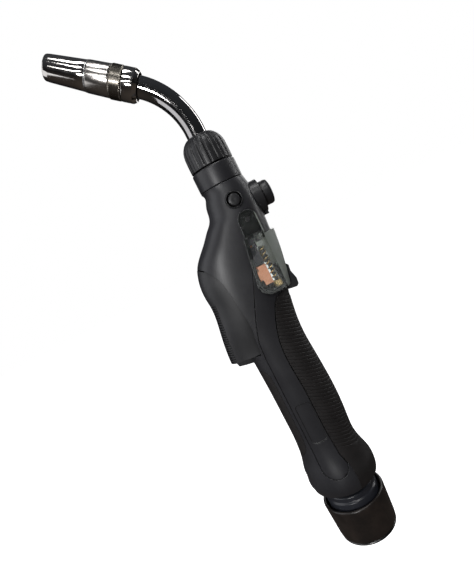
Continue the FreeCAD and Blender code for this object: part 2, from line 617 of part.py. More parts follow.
def make_drive_frame():
    """Chassis plate on the right of the drive, with a bridge and two ears for the arm's pin."""
    plate = prism([(-10.0, 188.0), (10.6, 188.0), (14.0, 204.0), (16.0, 216.0), (17.4, 226.0), (17.4, 250.0),
                   (4.0, 250.0), (-10.0, 232.0)], 12.8, 14.2)
    bridge = box(19.6, 24.4, -9.2, 9.2, 241.2, 244.8)
    tie = box(14.0, 19.8, 7.2, 14.2, 241.2, 244.8)
    frame = plate.fuse(bridge).fuse(tie)
    for y0 in (-9.2, 7.2):
        frame = frame.fuse(box(19.8, 24.4, y0, y0 + 2.0, 235.0, 243.0))
    frame = frame.removeSplitter().cut(rod(1.5, -20, 20, Y_AXIS, (ARM_PIN_X, ARM_PIN_Z)))
    export("drive_chassis", frame)

    plate = prism([(4.4, 206.0), (6.6, 204.4), (6.6, 218.4), (14.4, 218.4), (14.4, 236.0), (12.6, 238.0),
                   (9.6, 238.0)], -12.0, -10.6)
    plate = plate.cut(box(10.6, 13.2, -13, -10, 231.4, 232.6))
    export("drive_plate", plate)

    block = box(6.8, 14.4, -15.4, -8.0, 208.4, 218.2)
    block = block.fuse(box(8.8, 14.4, -15.4, -8.0, 204.6, 208.4)).removeSplitter()
    block = block.cut(box(6.0, 8.6, -16.0, -12.6, 215.4, 219.0))
    bar = box(8.6, 12.4, -10.6, -8.6, 218.2, 256.0)
    export("power_block", block.fuse(bar).removeSplitter())


def make_motor():
    x = DRIVE_ROLL_X
    motor = rod(MOTOR_R, 112.0, 164.0, Z_AXIS, (x, 0)).fuse(rod(4.0, 109.0, 112.0, Z_AXIS, (x, 0)))
    export("drive_motor", motor.removeSplitter())
    head = rod(MOTOR_R, 164.0, 192.0, Z_AXIS, (x, 0))
    case = box(x - 10.0, x + 10.0, 5.0, 12.8, 186.0, 234.0)
    case = head.fuse(case).removeSplitter()
    export("angle_gearhead", case.cut(rod(3.0 + RUN, 0.0, 10.4, Y_AXIS, (x, ROLL_Z))))


def bent_rod(radius, points, bend):
    """A round rod along straight runs joined by tangent arcs of one radius."""
    edges = []
    here = points[0]
    for before, corner, after in zip(points, points[1:], points[2:]):
        a = (before - corner).normalize()
        b = (after - corner).normalize()
        half_angle = a.getAngle(b) / 2.0
        leg = bend / (sin(half_angle) / cos(half_angle))
        start = corner + a * leg
        end = corner + b * leg
        centre = corner + (a + b).normalize() * (bend / sin(half_angle))
        knee = centre + (corner - centre).normalize() * bend
        edges.append(Part.LineSegment(here, start).toShape())
        edges.append(Part.Arc(start, knee, end).toShape())
        here = end
    edges.append(Part.LineSegment(here, points[-1]).toShape())
    path = Part.Wire(edges)
    along = (points[1] - points[0]).normalize()
    circle = Part.Wire(Part.makeCircle(radius, points[0], along))
    return path.makePipeShell([circle], True, False)


def make_supply():
    """What the cable feeds inside the handle: wire, gas and welding current."""
    inlet = turned([(1.0, 73.0), (13.0, 73.0), (13.0, 75.0), (18.2, 75.0), (18.2, 78.0), (13.0, 78.0),
                    (13.0, 83.0), (1.0, 83.0)])
    export("inlet_block", inlet)
    wire = [V(0, 0, 83.0), V(0, 0, 88.0), V(14.4, 0, 101.0), V(14.4, 0, 192.0), V(NECK_X, 0, 197.0),
            V(NECK_X, 0, 199.0)]
    export("wire_conduit", bent_rod(2.1, wire, 4.0))
    gas = [V(-5.5, 6, 83.0), V(-5.5, 6, 98.0), V(-11, 8.8, 107.0), V(-11, 8.8, 238.0), V(7.5, 5.8, 248.0),
           V(7.5, 5.8, 252.0)]
    export("gas_hose", bent_rod(2.0, gas, 5.0))
    power = [V(5, -7, 83.0), V(5, -7, 87.0), V(10.0, -10.9, 98.0), V(10.0, -10.9, 204.6)]
    export("power_lead", bent_rod(2.6, power, 5.0))


# ---------------------------------------------------------------- ball joint and cable cup
def make_swivel():
    seat = rod(SEAT_R, 47.9, 60.1).cut(Part.makeSphere(BEARING_R + RUN, V(0, 0, BALL_Z)))
    export("swivel_seat", seat)
    ball = Part.makeSphere(BEARING_R, V(0, 0, BALL_Z)).common(rod(30, 46.0, 62.0)).cut(rod(12.5, 40, 70))
    export("swivel_ball", ball)

    neck = turned([(INLET_R, 0.0), (13.0, 0.0), (13.0, 37.4), (17.8, 37.4), (17.8, 12.4), (20.3, 12.4),
                   (20.3, 39.2), (19.4, 40.0), (12.5, 40.0), (12.5, 66.0), (INLET_R, 66.0)])
    export("swivel_neck", neck)
    cup = turned([(13.0, 2.4), (21.4, 2.4), (22.3, 3.4), (22.6, 6.0), (CUP_R, CUP_RIM_Z - 1.2),
                  (CUP_R - 0.4, CUP_RIM_Z - 0.3), (CUP_R - 1.0, CUP_RIM_Z), (22.0, CUP_RIM_Z - 0.4),
                  (21.6, CUP_RIM_Z - 1.4), (20.9, 8.0), (20.0, 5.6), (13.0, 5.6)])
    export("cable_cup", cup)
    rear_ring = turned([(13.0, 0.4), (21.4, 0.4), (22.0, 1.0), (22.0, 1.9), (21.6, 2.4), (13.0, 2.4)])
    export("rear_ring", rear_ring)



os.makedirs("parts", exist_ok=True)
make_casing()
make_shell_screws()
make_neck()
make_nozzle()
make_neck_clamp()
make_controls()
make_trigger()
make_cover()
make_latch()
make_drive()
make_drive_frame()
make_motor()
make_supply()
make_swivel()
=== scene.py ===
# %% [markdown]
# # A push-pull MIG welding torch
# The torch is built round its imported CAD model, in metres, and in the same frame: +Z runs up the
# handle, +X is the side with the knob and the clear cover, and -Y is the side with the push
# button. CAD nodes that already have the right shape only get a finish. Turned, knurled, fluted,
# coiled and ribbed pieces are modelled again here with bmesh operators, and stand for their CAD
# nodes. Lengths of pieces are written in millimetres and multiplied by MM where the mesh is made.

# %% Load the frame
from math import atan2, cos, pi, radians, sin

import bmesh
import bpy
from mathutils import Matrix, Vector


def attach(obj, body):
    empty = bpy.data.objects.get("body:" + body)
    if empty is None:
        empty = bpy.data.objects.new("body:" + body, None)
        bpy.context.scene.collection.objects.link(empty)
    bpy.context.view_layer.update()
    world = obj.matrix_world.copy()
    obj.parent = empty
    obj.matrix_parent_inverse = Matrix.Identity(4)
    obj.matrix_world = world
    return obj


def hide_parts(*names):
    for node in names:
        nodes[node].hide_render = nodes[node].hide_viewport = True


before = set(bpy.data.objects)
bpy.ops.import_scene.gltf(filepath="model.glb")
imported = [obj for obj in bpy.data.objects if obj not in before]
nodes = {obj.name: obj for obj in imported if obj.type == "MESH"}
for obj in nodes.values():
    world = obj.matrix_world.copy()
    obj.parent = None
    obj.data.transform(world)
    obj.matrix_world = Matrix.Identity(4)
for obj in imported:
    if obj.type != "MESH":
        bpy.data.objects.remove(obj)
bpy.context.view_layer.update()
MM = 0.001

# %% [markdown]
# The camera stands close to the left side of the torch with a wide lens, and is rolled, so that
# the torch leans across the frame. Its three axes are written as a rotation matrix.

# %% Camera
CAMERA_PLACE = (-0.0113, -0.297, 0.2478)
CAMERA_RIGHT = (0.893, -0.0626, -0.4456)
CAMERA_BACK = (0.0, -0.9902, 0.1392)
LENS_MM = 26.0
SENSOR_MM = 36.0
CLIP_RANGE = (0.005, 50.0)


def make_camera():
    right = Vector(CAMERA_RIGHT).normalized()
    back = Vector(CAMERA_BACK).normalized()
    up = back.cross(right).normalized()
    right = up.cross(back).normalized()
    data = bpy.data.cameras.new("camera")
    data.lens = LENS_MM
    data.sensor_width = SENSOR_MM
    data.clip_start, data.clip_end = CLIP_RANGE
    camera = bpy.data.objects.new("camera", data)
    bpy.context.scene.collection.objects.link(camera)
    turn = Matrix((right, up, back)).transposed()
    camera.matrix_world = Matrix.Translation(CAMERA_PLACE) @ turn.to_4x4()
    return camera


bpy.context.scene.camera = make_camera()
bpy.context.scene.view_settings.view_transform = "Standard"
print("camera", tuple(bpy.context.scene.camera.location))

# %% [markdown]
# A studio for black plastic and chrome needs a white room that the camera sees and a dim one that
# lights and reflects, or the chrome turns white. The world asks the Light Path which of the two a
# ray is for. The dim room is warm below, dark at the level of the torch and cool above. The floor
# is a large pale plate below the torch. It glows as bright as the room, and only the camera sees
# it.

# %% World and floor
WHITE = (1.0, 1.0, 1.0, 1.0)
SEEN_STRENGTH = 1.0
DIM_STRENGTH = 0.14
DIM_BELOW = (0.15, (0.50, 0.42, 0.36, 1.0))
DIM_LEVEL = (0.45, (0.07, 0.07, 0.075, 1.0))
DIM_ABOVE = (0.95, (0.42, 0.45, 0.50, 1.0))
FLOOR_RADIUS = 9.0
FLOOR_Z = -0.28
FLOOR_COLOUR = (0.86, 0.86, 0.86, 1.0)
FLOOR_ROUGHNESS = 0.8
FLOOR_GLOW = 1.1


def make_world():
    world = bpy.data.worlds.new("studio")
    bpy.context.scene.world = world
    world.use_nodes = True
    tree = world.node_tree
    tree.nodes.clear()
    out = tree.nodes.new("ShaderNodeOutputWorld")
    seen = tree.nodes.new("ShaderNodeBackground")
    seen.inputs["Color"].default_value = WHITE
    seen.inputs["Strength"].default_value = SEEN_STRENGTH
    dim = tree.nodes.new("ShaderNodeBackground")
    dim.inputs["Strength"].default_value = DIM_STRENGTH
    coords = tree.nodes.new("ShaderNodeTexCoord")
    split = tree.nodes.new("ShaderNodeSeparateXYZ")
    ramp = tree.nodes.new("ShaderNodeValToRGB")
    stops = ramp.color_ramp.elements
    stops[0].color = DIM_BELOW[1]
    stops[1].color = DIM_ABOVE[1]
    stops[0].position = DIM_BELOW[0]
    stops[1].position = DIM_ABOVE[0]
    stops.new(DIM_LEVEL[0]).color = DIM_LEVEL[1]
    # The direction's Z runs from -1 to 1, and the ramp from 0 to 1.
    lift = tree.nodes.new("ShaderNodeMath")
    lift.operation = "MULTIPLY_ADD"
    lift.inputs[1].default_value = 0.5
    lift.inputs[2].default_value = 0.5
    path = tree.nodes.new("ShaderNodeLightPath")
    mix = tree.nodes.new("ShaderNodeMixShader")
    tree.links.new(coords.outputs["Generated"], split.inputs[0])
    tree.links.new(split.outputs["Z"], lift.inputs[0])
    tree.links.new(lift.outputs[0], ramp.inputs["Fac"])
    tree.links.new(ramp.outputs["Color"], dim.inputs["Color"])
    tree.links.new(path.outputs["Is Camera Ray"], mix.inputs["Fac"])
    tree.links.new(dim.outputs[0], mix.inputs[1])
    tree.links.new(seen.outputs[0], mix.inputs[2])
    tree.links.new(mix.outputs[0], out.inputs["Surface"])


def make_floor():
    bm = bmesh.new()
    bmesh.ops.create_circle(bm, cap_ends=True, segments=64, radius=FLOOR_RADIUS)
    bmesh.ops.translate(bm, verts=bm.verts, vec=(0.0, 0.0, FLOOR_Z))
    mesh = bpy.data.meshes.new("floor")
    bm.to_mesh(mesh)
    bm.free()
    floor = bpy.data.objects.new("floor", mesh)
    bpy.context.scene.collection.objects.link(floor)
    material = bpy.data.materials.new("pale floor")
    material.use_nodes = True
    shader = material.node_tree.nodes["Principled BSDF"]
    shader.inputs["Base Color"].default_value = FLOOR_COLOUR
    shader.inputs["Roughness"].default_value = FLOOR_ROUGHNESS
    shader.inputs["Emission Color"].default_value = WHITE
    shader.inputs["Emission Strength"].default_value = FLOOR_GLOW
    mesh.materials.append(material)
    floor.visible_glossy = False
    floor.visible_diffuse = False


make_world()
make_floor()
print("stage ready")

# %% [markdown]
# Black plastic and chrome are drawn by what they reflect, so each lamp is there for one highlight:
# a low lamp for the grip, a tall cool window for the front of the handle, a strip for the nozzle,
# two ceiling panels for the neck and the upper faces, a narrow strip for the edge on the far
# right, and a soft fill behind. All of them are area lights, aimed at a point on the torch.

# %% Lights
NEUTRAL = (1.0, 1.0, 1.0)
COOL = (0.96, 0.97, 1.0)
# Each row: name, place, target, width and height in metres, power in watts, colour.
LIGHTS = [
    ("low_key", (-0.42, -1.02, 0.28), (-0.005, 0.0, 0.07), (0.16, 0.16), 4.6, NEUTRAL),
    ("left_window", (-0.90, -0.15, 0.55), (-0.01, 0.0, 0.22), (0.80, 1.40), 4.5, COOL),
    ("front_strip", (-0.35, -1.13, 0.66), (-0.05, 0.0, 0.37), (0.40, 0.07), 1.0, NEUTRAL),
    ("ceiling_front", (0.03, -1.07, 1.2), (-0.02, -0.2, 0.3), (0.30, 0.22), 3.2, NEUTRAL),
    ("ceiling_rear", (0.20, -0.28, 1.2), (0.0, -0.1, 0.3), (0.34, 0.14), 2.2, NEUTRAL),
    ("right_strip", (0.95, 0.20, 0.55), (0.0, 0.0, 0.30), (0.10, 0.90), 2.5, NEUTRAL),
    ("back_fill", (0.5, 0.9, 0.5), (0.0, 0.0, 0.2), (0.8, 0.8), 4.0, NEUTRAL),
]


def make_light(name, place, target, size, power, colour):
    data = bpy.data.lights.new(name, "AREA")
    data.shape = "RECTANGLE"
    data.size, data.size_y = size
    data.energy = power
    data.color = colour
    light = bpy.data.objects.new(name, data)
    bpy.context.scene.collection.objects.link(light)
    aim = Vector(target) - Vector(place)
    light.location = place
    light.rotation_mode = "QUATERNION"
    light.rotation_quaternion = aim.to_track_quat("-Z", "Y")


for lamp in LIGHTS:
    make_light(*lamp)
print("lights", len(bpy.data.lights))

# %% [markdown]
# ## Shared shader groups
# Moulded plastic shows a fine grain, small edges that catch the light, and a little dust. Each of
# those is a node group with named sockets, so that every material places it with its own values.

# %% Node group helpers
FLOAT = "NodeSocketFloat"
VECTOR = "NodeSocketVector"
BEVEL_SAMPLES = 4
EDGE_GAIN = 4.0
DUST_FROM = 0.42
DUST_TO = 0.75
GRAIN_HEIGHT = 0.0001


def new_group(name, inputs, outputs):
    group = bpy.data.node_groups.new(name, "ShaderNodeTree")
    for label, kind, value in inputs:
        socket = group.interface.new_socket(label, in_out="INPUT", socket_type=kind)
        if value is not None:
            socket.default_value = value
    for label, kind in outputs:
        group.interface.new_socket(label, in_out="OUTPUT", socket_type=kind)
    return group, group.nodes.new("NodeGroupInput"), group.nodes.new("NodeGroupOutput")


def new_math(tree, operation, first, second):
    node = tree.nodes.new("ShaderNodeMath")
    node.operation = operation
    for slot, value in enumerate((first, second)):
        if isinstance(value, (int, float)):
            node.inputs[slot].default_value = value
        else:
            tree.links.new(value, node.inputs[slot])
    return node.outputs[0]


def make_grain_group():
    group, start, end = new_group(
        "grain",
        [("Scale", FLOAT, 2200.0), ("Depth", FLOAT, 0.25), ("Normal", VECTOR, None)],
        [("Normal", VECTOR)])
    coords = group.nodes.new("ShaderNodeTexCoord")
    noise = group.nodes.new("ShaderNodeTexNoise")
    noise.inputs["Detail"].default_value = 2.0
    bump = group.nodes.new("ShaderNodeBump")
    bump.inputs["Distance"].default_value = GRAIN_HEIGHT
    group.links.new(coords.outputs["Object"], noise.inputs["Vector"])
    group.links.new(start.outputs["Scale"], noise.inputs["Scale"])
    group.links.new(noise.outputs["Fac"], bump.inputs["Height"])
    group.links.new(start.outputs["Depth"], bump.inputs["Strength"])
    group.links.new(start.outputs["Normal"], bump.inputs["Normal"])
    group.links.new(bump.outputs["Normal"], end.inputs["Normal"])
    return group


def make_edge_group():
    group, start, end = new_group(
        "soft edges", [("Radius", FLOAT, 0.0004)], [("Normal", VECTOR), ("Mask", FLOAT)])
    bevel = group.nodes.new("ShaderNodeBevel")
    bevel.samples = BEVEL_SAMPLES
    plain = group.nodes.new("ShaderNodeNewGeometry")
    dot = group.nodes.new("ShaderNodeVectorMath")
    dot.operation = "DOT_PRODUCT"
    group.links.new(start.outputs["Radius"], bevel.inputs["Radius"])
    group.links.new(bevel.outputs["Normal"], dot.inputs[0])
    group.links.new(plain.outputs["Normal"], dot.inputs[1])
    away = new_math(group, "SUBTRACT", 1.0, dot.outputs["Value"])
    mask = new_math(group, "MULTIPLY", away, EDGE_GAIN)
    group.links.new(bevel.outputs["Normal"], end.inputs["Normal"])
    group.links.new(mask, end.inputs["Mask"])
    return group


def make_dust_group():
    group, start, end = new_group(
        "dust", [("Scale", FLOAT, 60.0), ("Amount", FLOAT, 0.3)], [("Mask", FLOAT)])
    coords = group.nodes.new("ShaderNodeTexCoord")
    noise = group.nodes.new("ShaderNodeTexNoise")
    noise.inputs["Detail"].default_value = 6.0
    noise.inputs["Roughness"].default_value = 0.65
    ramp = group.nodes.new("ShaderNodeMapRange")
    ramp.inputs["From Min"].default_value = DUST_FROM
    ramp.inputs["From Max"].default_value = DUST_TO
    group.links.new(coords.outputs["Object"], noise.inputs["Vector"])
    group.links.new(start.outputs["Scale"], noise.inputs["Scale"])
    group.links.new(noise.outputs["Fac"], ramp.inputs["Value"])
    mask = new_math(group, "MULTIPLY", ramp.outputs["Result"], start.outputs["Amount"])
    group.links.new(mask, end.inputs["Mask"])
    return group


GRAIN = make_grain_group()
EDGES = make_edge_group()
DUST = make_dust_group()
print("groups", [group.name for group in bpy.data.node_groups])

# %% [markdown]
# One recipe makes every opaque finish. The colour goes from a base to a worn colour, mixed by dust
# and by edges, and is then darkened in crevices by an ambient occlusion node, which is painted
# shade. The roughness rises with the same dust, and the grain bumps the softened normal. Each row
# gives a name, the base colour, the worn colour and the roughness, and then whatever differs from
# the usual grain (scale, depth), dust (scale, amount) and reach of the painted shade.

# %% Finishes
# Painted shade: ambient occlusion darkens the colour in crevices, and reaches further on the
# shells.
CREVICE_SHADE_SAMPLES = 8
CREVICE_SHADE_REACH = 0.0015
SHELL_SHADE_REACH = 0.003


def place_group(tree, group, **values):
    node = tree.nodes.new("ShaderNodeGroup")
    node.node_tree = group
    for label, value in values.items():
        node.inputs[label].default_value = value
    return node


def make_finish(name, base, worn, rough, metal=0.0, grain=(2200.0, 0.2), edge=0.0004,
                dust=(60.0, 0.3), rough_swing=0.15, edge_share=0.35,
                crevice_shade_reach=CREVICE_SHADE_REACH, clear_share=0.0):
    material = bpy.data.materials.new(name)
    material.use_nodes = True
    tree = material.node_tree
    shader = tree.nodes["Principled BSDF"]
    edges = place_group(tree, EDGES, Radius=edge)
    grains = place_group(tree, GRAIN, Scale=grain[0], Depth=grain[1])
    dusty = place_group(tree, DUST, Scale=dust[0], Amount=dust[1])
    tree.links.new(edges.outputs["Normal"], grains.inputs["Normal"])
    tree.links.new(grains.outputs["Normal"], shader.inputs["Normal"])
    worn_edge = new_math(tree, "MULTIPLY", edges.outputs["Mask"], edge_share)
    share = new_math(tree, "ADD", dusty.outputs["Mask"], worn_edge)
    limit = tree.nodes.new("ShaderNodeClamp")
    tree.links.new(share, limit.inputs["Value"])
    mix = tree.nodes.new("ShaderNodeMix")
    mix.data_type = "RGBA"
    mix.inputs[6].default_value = (*base, 1.0)
    mix.inputs[7].default_value = (*worn, 1.0)
    tree.links.new(limit.outputs[0], mix.inputs[0])
    # Painted shade: ambient occlusion darkens the colour in crevices and seams.
    crevice_shade = tree.nodes.new("ShaderNodeAmbientOcclusion")
    crevice_shade.samples = CREVICE_SHADE_SAMPLES
    crevice_shade.inputs["Distance"].default_value = crevice_shade_reach
    tree.links.new(mix.outputs[2], crevice_shade.inputs["Color"])
    tree.links.new(crevice_shade.outputs["Color"], shader.inputs["Base Color"])
    swing = new_math(tree, "MULTIPLY", dusty.outputs["Mask"], rough_swing)
    tree.links.new(new_math(tree, "ADD", swing, rough), shader.inputs["Roughness"])
    shader.inputs["Metallic"].default_value = metal
    shader.inputs["Transmission Weight"].default_value = clear_share
    return material


finish = {
    "shell": make_finish("moulded shell", (0.021, 0.021, 0.024), (0.05, 0.05, 0.056), 0.38,
                         crevice_shade_reach=SHELL_SHADE_REACH),
    "panel": make_finish("smooth panel", (0.022, 0.022, 0.025), (0.05, 0.05, 0.055), 0.33,
                         grain=(2600.0, 0.12), dust=(45.0, 0.25), crevice_shade_reach=SHELL_SHADE_REACH),
    # Near black painted shade for the panel chamfers, in place of the shadow in the gaps.
    "seam": make_finish("dirty seam", (0.004, 0.004, 0.004), (0.010, 0.010, 0.010), 0.7),
    "rubber": make_finish("grip rubber", (0.010, 0.0085, 0.0085), (0.025, 0.021, 0.021), 0.58,
                          grain=(1800.0, 0.3), dust=(90.0, 0.3)),
    "trigger": make_finish("trigger plastic", (0.019, 0.019, 0.021), (0.045, 0.045, 0.049), 0.44,
                           crevice_shade_reach=SHELL_SHADE_REACH),
    "control": make_finish("control plastic", (0.017, 0.017, 0.019), (0.05, 0.05, 0.05), 0.36,
                           grain=(2600.0, 0.15)),
    "cup": make_finish("cup plastic", (0.013, 0.0105, 0.0095), (0.07, 0.05, 0.04), 0.32,
                       grain=(1500.0, 0.12), dust=(50.0, 0.35)),
    "swivel": make_finish("swivel plastic", (0.020, 0.022, 0.028), (0.05, 0.05, 0.06), 0.28,
                          grain=(2000.0, 0.1)),
    "chrome": make_finish("nozzle chrome", (0.55, 0.53, 0.51), (0.42, 0.36, 0.30), 0.07,
                          metal=1.0, grain=(700.0, 0.008), dust=(160.0, 0.3), rough_swing=0.2),
    "satin_chrome": make_finish("brushed chrome", (0.52, 0.50, 0.48), (0.40, 0.34, 0.29), 0.17,
                                metal=1.0, grain=(900.0, 0.01), dust=(160.0, 0.4),
                                rough_swing=0.25),
    "dark_chrome": make_finish("neck chrome", (0.40, 0.39, 0.39), (0.30, 0.28, 0.26), 0.06,
                               metal=1.0, grain=(600.0, 0.008), dust=(140.0, 0.4),
                               rough_swing=0.25),
    "tail": make_finish("dark plated ring", (0.14, 0.14, 0.14), (0.08, 0.07, 0.06), 0.3,
                        metal=1.0, grain=(2000.0, 0.05)),
    "knurled": make_finish("knurled steel", (0.26, 0.24, 0.21), (0.13, 0.11, 0.09), 0.26,
                           metal=1.0, grain=(3000.0, 0.1), dust=(300.0, 0.6)),
    "steel": make_finish("machined steel", (0.56, 0.56, 0.56), (0.36, 0.35, 0.33), 0.25,
                         metal=1.0, grain=(2500.0, 0.08)),
    "aluminium": make_finish("machined aluminium", (0.66, 0.66, 0.65), (0.5, 0.5, 0.49), 0.35,
                             metal=1.0, grain=(2500.0, 0.1)),
    "brass": make_finish("brass", (0.80, 0.58, 0.28), (0.5, 0.34, 0.15), 0.25,
                         metal=1.0, grain=(2500.0, 0.08)),
    "copper": make_finish("copper", (0.90, 0.42, 0.26), (0.55, 0.22, 0.12), 0.38,
                          metal=0.75, grain=(1500.0, 0.2), dust=(200.0, 0.5)),
    "plate": make_finish("plate plastic", (0.045, 0.040, 0.052), (0.09, 0.085, 0.10), 0.3,
                         grain=(2000.0, 0.1)),
    "arm": make_finish("light grey arm", (0.42, 0.43, 0.40), (0.25, 0.25, 0.22), 0.45,
                       grain=(1500.0, 0.2), dust=(150.0, 0.6)),
    "insulator": make_finish("insulator", (0.03, 0.026, 0.022), (0.06, 0.05, 0.045), 0.5),
    "motor": make_finish("coated motor can", (0.05, 0.05, 0.055), (0.12, 0.12, 0.12), 0.35,
                         metal=0.6),
    "hose": make_finish("hose rubber", (0.018, 0.018, 0.018), (0.05, 0.05, 0.05), 0.5),
}
print("finishes", len(finish))

# %% [markdown]
# ## Helpers for pieces
# Every new piece is drawn in a bmesh, joined to the scene as one object at the origin, and rides
# on the body of the CAD node that it stands for. A CAD node whose shape is right keeps its mesh,
# and only gets a finish.

# %% From bmesh to piece
SAME_POINT = 1e-7
SAME_CAD_POINT = 2e-6


def sharpen(bm, degrees):
    """Smooth shading, with edges sharper than the given angle kept crisp."""
    limit = radians(degrees)
    for face in bm.faces:
        face.smooth = True
    for edge in bm.edges:
        edge.smooth = len(edge.link_faces) == 2 and edge.calc_face_angle(0.0) < limit


def make_piece(bm, name, body, stands_for, materials, crease=35.0, turn_out=True):
    """Turns a bmesh into a piece that rides on a body and stands for CAD nodes."""
    bmesh.ops.remove_doubles(bm, verts=bm.verts, dist=SAME_POINT)
    if turn_out:
        bmesh.ops.recalc_face_normals(bm, faces=bm.faces)
    sharpen(bm, crease)
    mesh = bpy.data.meshes.new(name)
    bm.to_mesh(mesh)
    bm.free()
    piece = bpy.data.objects.new(name, mesh)
    bpy.context.scene.collection.objects.link(piece)
    for material in materials:
        mesh.materials.append(material)
    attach(piece, body)
    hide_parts(*stands_for)
    print("made", name, "faces", len(mesh.polygons))


def dress(material, *names):
    """Gives CAD nodes a finish."""
    for name in names:
        node = nodes[name]
        if not node.material_slots:
            node.data.materials.append(material)
        for place in node.material_slots:
            place.material = material


def copy_node(name):
    """A bmesh copy of a CAD node with its loose triangles joined."""
    bm = bmesh.new()
    bm.from_mesh(nodes[name].data)
    bmesh.ops.remove_doubles(bm, verts=bm.verts, dist=SAME_CAD_POINT)
    return bm


def part_of(distance, span):
    """How much of a span a distance covers, from 0 to 1."""
    return max(0.0, min(1.0, distance / span))


print("piece helpers ready")

# %% [markdown]
# Turned pieces are outlines of (radius, height) in millimetres. The outline is drawn in the XZ
# plane, its corners are rounded, and it is spun about Z. The piece is then laid along its own
# axis.

# %% Turned shapes
def draw_profile(bm, profile, rounding):
    """A closed outline in the XZ plane, with rounded corners."""
    verts = [bm.verts.new((r * MM, 0.0, z * MM)) for r, z in profile]
    edges = [bm.edges.new((a, b)) for a, b in zip(verts, verts[1:] + verts[:1])]
    if rounding:
        bmesh.ops.bevel(bm, geom=verts + edges, offset=rounding * MM, segments=3, profile=0.5,
                        affect="VERTICES", clamp_overlap=True, material=-1)


def lathe(profile, steps, rounding):
    """A closed outline spun about Z."""
    bm = bmesh.new()
    draw_profile(bm, profile, rounding)
    bmesh.ops.spin(bm, geom=bm.verts[:] + bm.edges[:], cent=(0, 0, 0), axis=(0, 0, 1),
                   angle=2 * pi, steps=steps, use_merge=True)
    bmesh.ops.remove_doubles(bm, verts=bm.verts, dist=SAME_POINT)
    return bm


def lay(bm, axis, place):
    """Turns a piece drawn about Z so that it lies along an axis, and moves it to its place."""
    turn = Vector((0, 0, 1)).rotation_difference(Vector(axis)).to_matrix().to_4x4()
    spot = Matrix.Translation(Vector(place) * MM)
    bmesh.ops.transform(bm, matrix=spot @ turn, verts=bm.verts)
    return bm


def radius_of(point):
    """Distance of a point from the Z axis, in millimetres."""
    return Vector((point.x, point.y)).length / MM


def press_in(vert, depth):
    """Moves a point towards the Z axis, by metres."""
    flat = Vector((vert.co.x, vert.co.y, 0.0))
    vert.co -= flat.normalized() * depth


print("lathe ready")

# %% [markdown]
# ## The swan neck
# The neck is one chromed tube, straight out of the lock nut and then bent by 53 degrees. A circle
# is extruded up the straight run and spun round the bend's centre, so its rings follow the bend.

# %% Swan neck
NECK_X = 12.8
NECK_R = 7.25
NECK_FOOT_Z = 263.0
NECK_TIP = 8.0
BEND_Z = 316.5
BEND_R = 52.0
BEND = radians(53.13)
BEND_STEPS = 40
STRAIGHT_STEPS = (22.0, 20.0, BEND_Z - 305.0)


def extrude_ring(bm, ring, move):
    grown = bmesh.ops.extrude_edge_only(bm, edges=ring)["geom"]
    verts = [v for v in grown if isinstance(v, bmesh.types.BMVert)]
    bmesh.ops.translate(bm, verts=verts, vec=Vector(move) * MM)
    return [e for e in grown if isinstance(e, bmesh.types.BMEdge)
            and e.verts[0] in verts and e.verts[1] in verts]


def make_swan_neck():
    bm = bmesh.new()
    circle = bmesh.ops.create_circle(bm, segments=64, radius=NECK_R * MM)["verts"]
    bmesh.ops.translate(bm, verts=circle, vec=Vector((NECK_X, 0.0, NECK_FOOT_Z)) * MM)
    foot = bm.edges[:]
    ring = foot
    for height in STRAIGHT_STEPS:
        ring = extrude_ring(bm, ring, (0.0, 0.0, height))
    spun = bmesh.ops.spin(bm, geom=ring + list({v for e in ring for v in e.verts}),
                          cent=Vector((NECK_X - BEND_R, 0.0, BEND_Z)) * MM, axis=(0, -1, 0),
                          angle=BEND, steps=BEND_STEPS)["geom_last"]
    ring = [e for e in spun if isinstance(e, bmesh.types.BMEdge)]
    top = extrude_ring(bm, ring, (-sin(BEND) * NECK_TIP, 0.0, cos(BEND) * NECK_TIP))
    for loop in (foot, top):
        bmesh.ops.contextual_create(bm, geom=loop)
    make_piece(bm, "chromed_neck", "neck", ["swan_neck"], [finish["dark_chrome"]])


make_swan_neck()

# %% [markdown]
# ## The nozzle
# From the neck outwards come a slotted nut, a knurled band, a plain chrome body, a thin bright
# ring and the tapered gas nozzle. All are turned, and heights run along the nozzle from the bend's
# end. The nut's slots and the knurl are pressed into the turned skin afterwards, which keeps each
# piece one closed mesh, where cutting them out would leave ragged edges.

# %% Nozzle pieces
NUT_OUTLINE = [(7.3, 5.0), (8.85, 5.0), (8.85, -0.6), (9.6, -0.6), (10.9, 1.8), (10.9, 9.1),
               (7.3, 9.1)]
NUT_SLOTS = 6
NUT_SLOT_SHARE = (0.38, 0.62)
NUT_SLOT_TOP = 2.0
NUT_SLOT_DEPTH = 1.0
NUT_RECESS_R = 9.0
NUT_RECESS_TOP = 5.2
KNURL_OUTLINE = [(8.7, 9.4), (10.5, 9.4), (10.8, 9.9), (10.8, 17.1), (10.5, 17.6), (8.7, 17.6)]
KNURL_COLUMNS = 108
KNURL_ROWS = 14
KNURL_FOOT = 9.9
KNURL_LENGTH = 7.2
KNURL_SKIN_R = 10.7
KNURL_TALL_EDGE = 6.0
KNURL_MARGIN = 0.1
KNURL_OUT = 1.022
KNURL_IN = 0.965
BODY_OUTLINE = [(8.7, 17.6), (10.35, 17.6), (10.5, 18.0), (10.1, 31.8), (9.8, 32.0), (8.7, 32.0)]
RING_OUTLINE = [(8.7, 32.05), (9.95, 32.05), (9.95, 32.95), (8.7, 32.95)]
CONE_OUTLINE = [(8.2, 33.0), (9.72, 33.0), (9.4, 39.0), (8.9, 48.0), (8.45, 56.0), (8.15, 58.6),
                (7.8, 59.2), (7.1, 59.2), (6.9, 58.6), (6.9, 47.0), (8.2, 40.0)]


def on_nozzle(bm):
    end = Vector((NECK_X - BEND_R * (1 - cos(BEND)), 0.0, BEND_Z + BEND_R * sin(BEND)))
    return lay(bm, (-sin(BEND), 0.0, cos(BEND)), end)


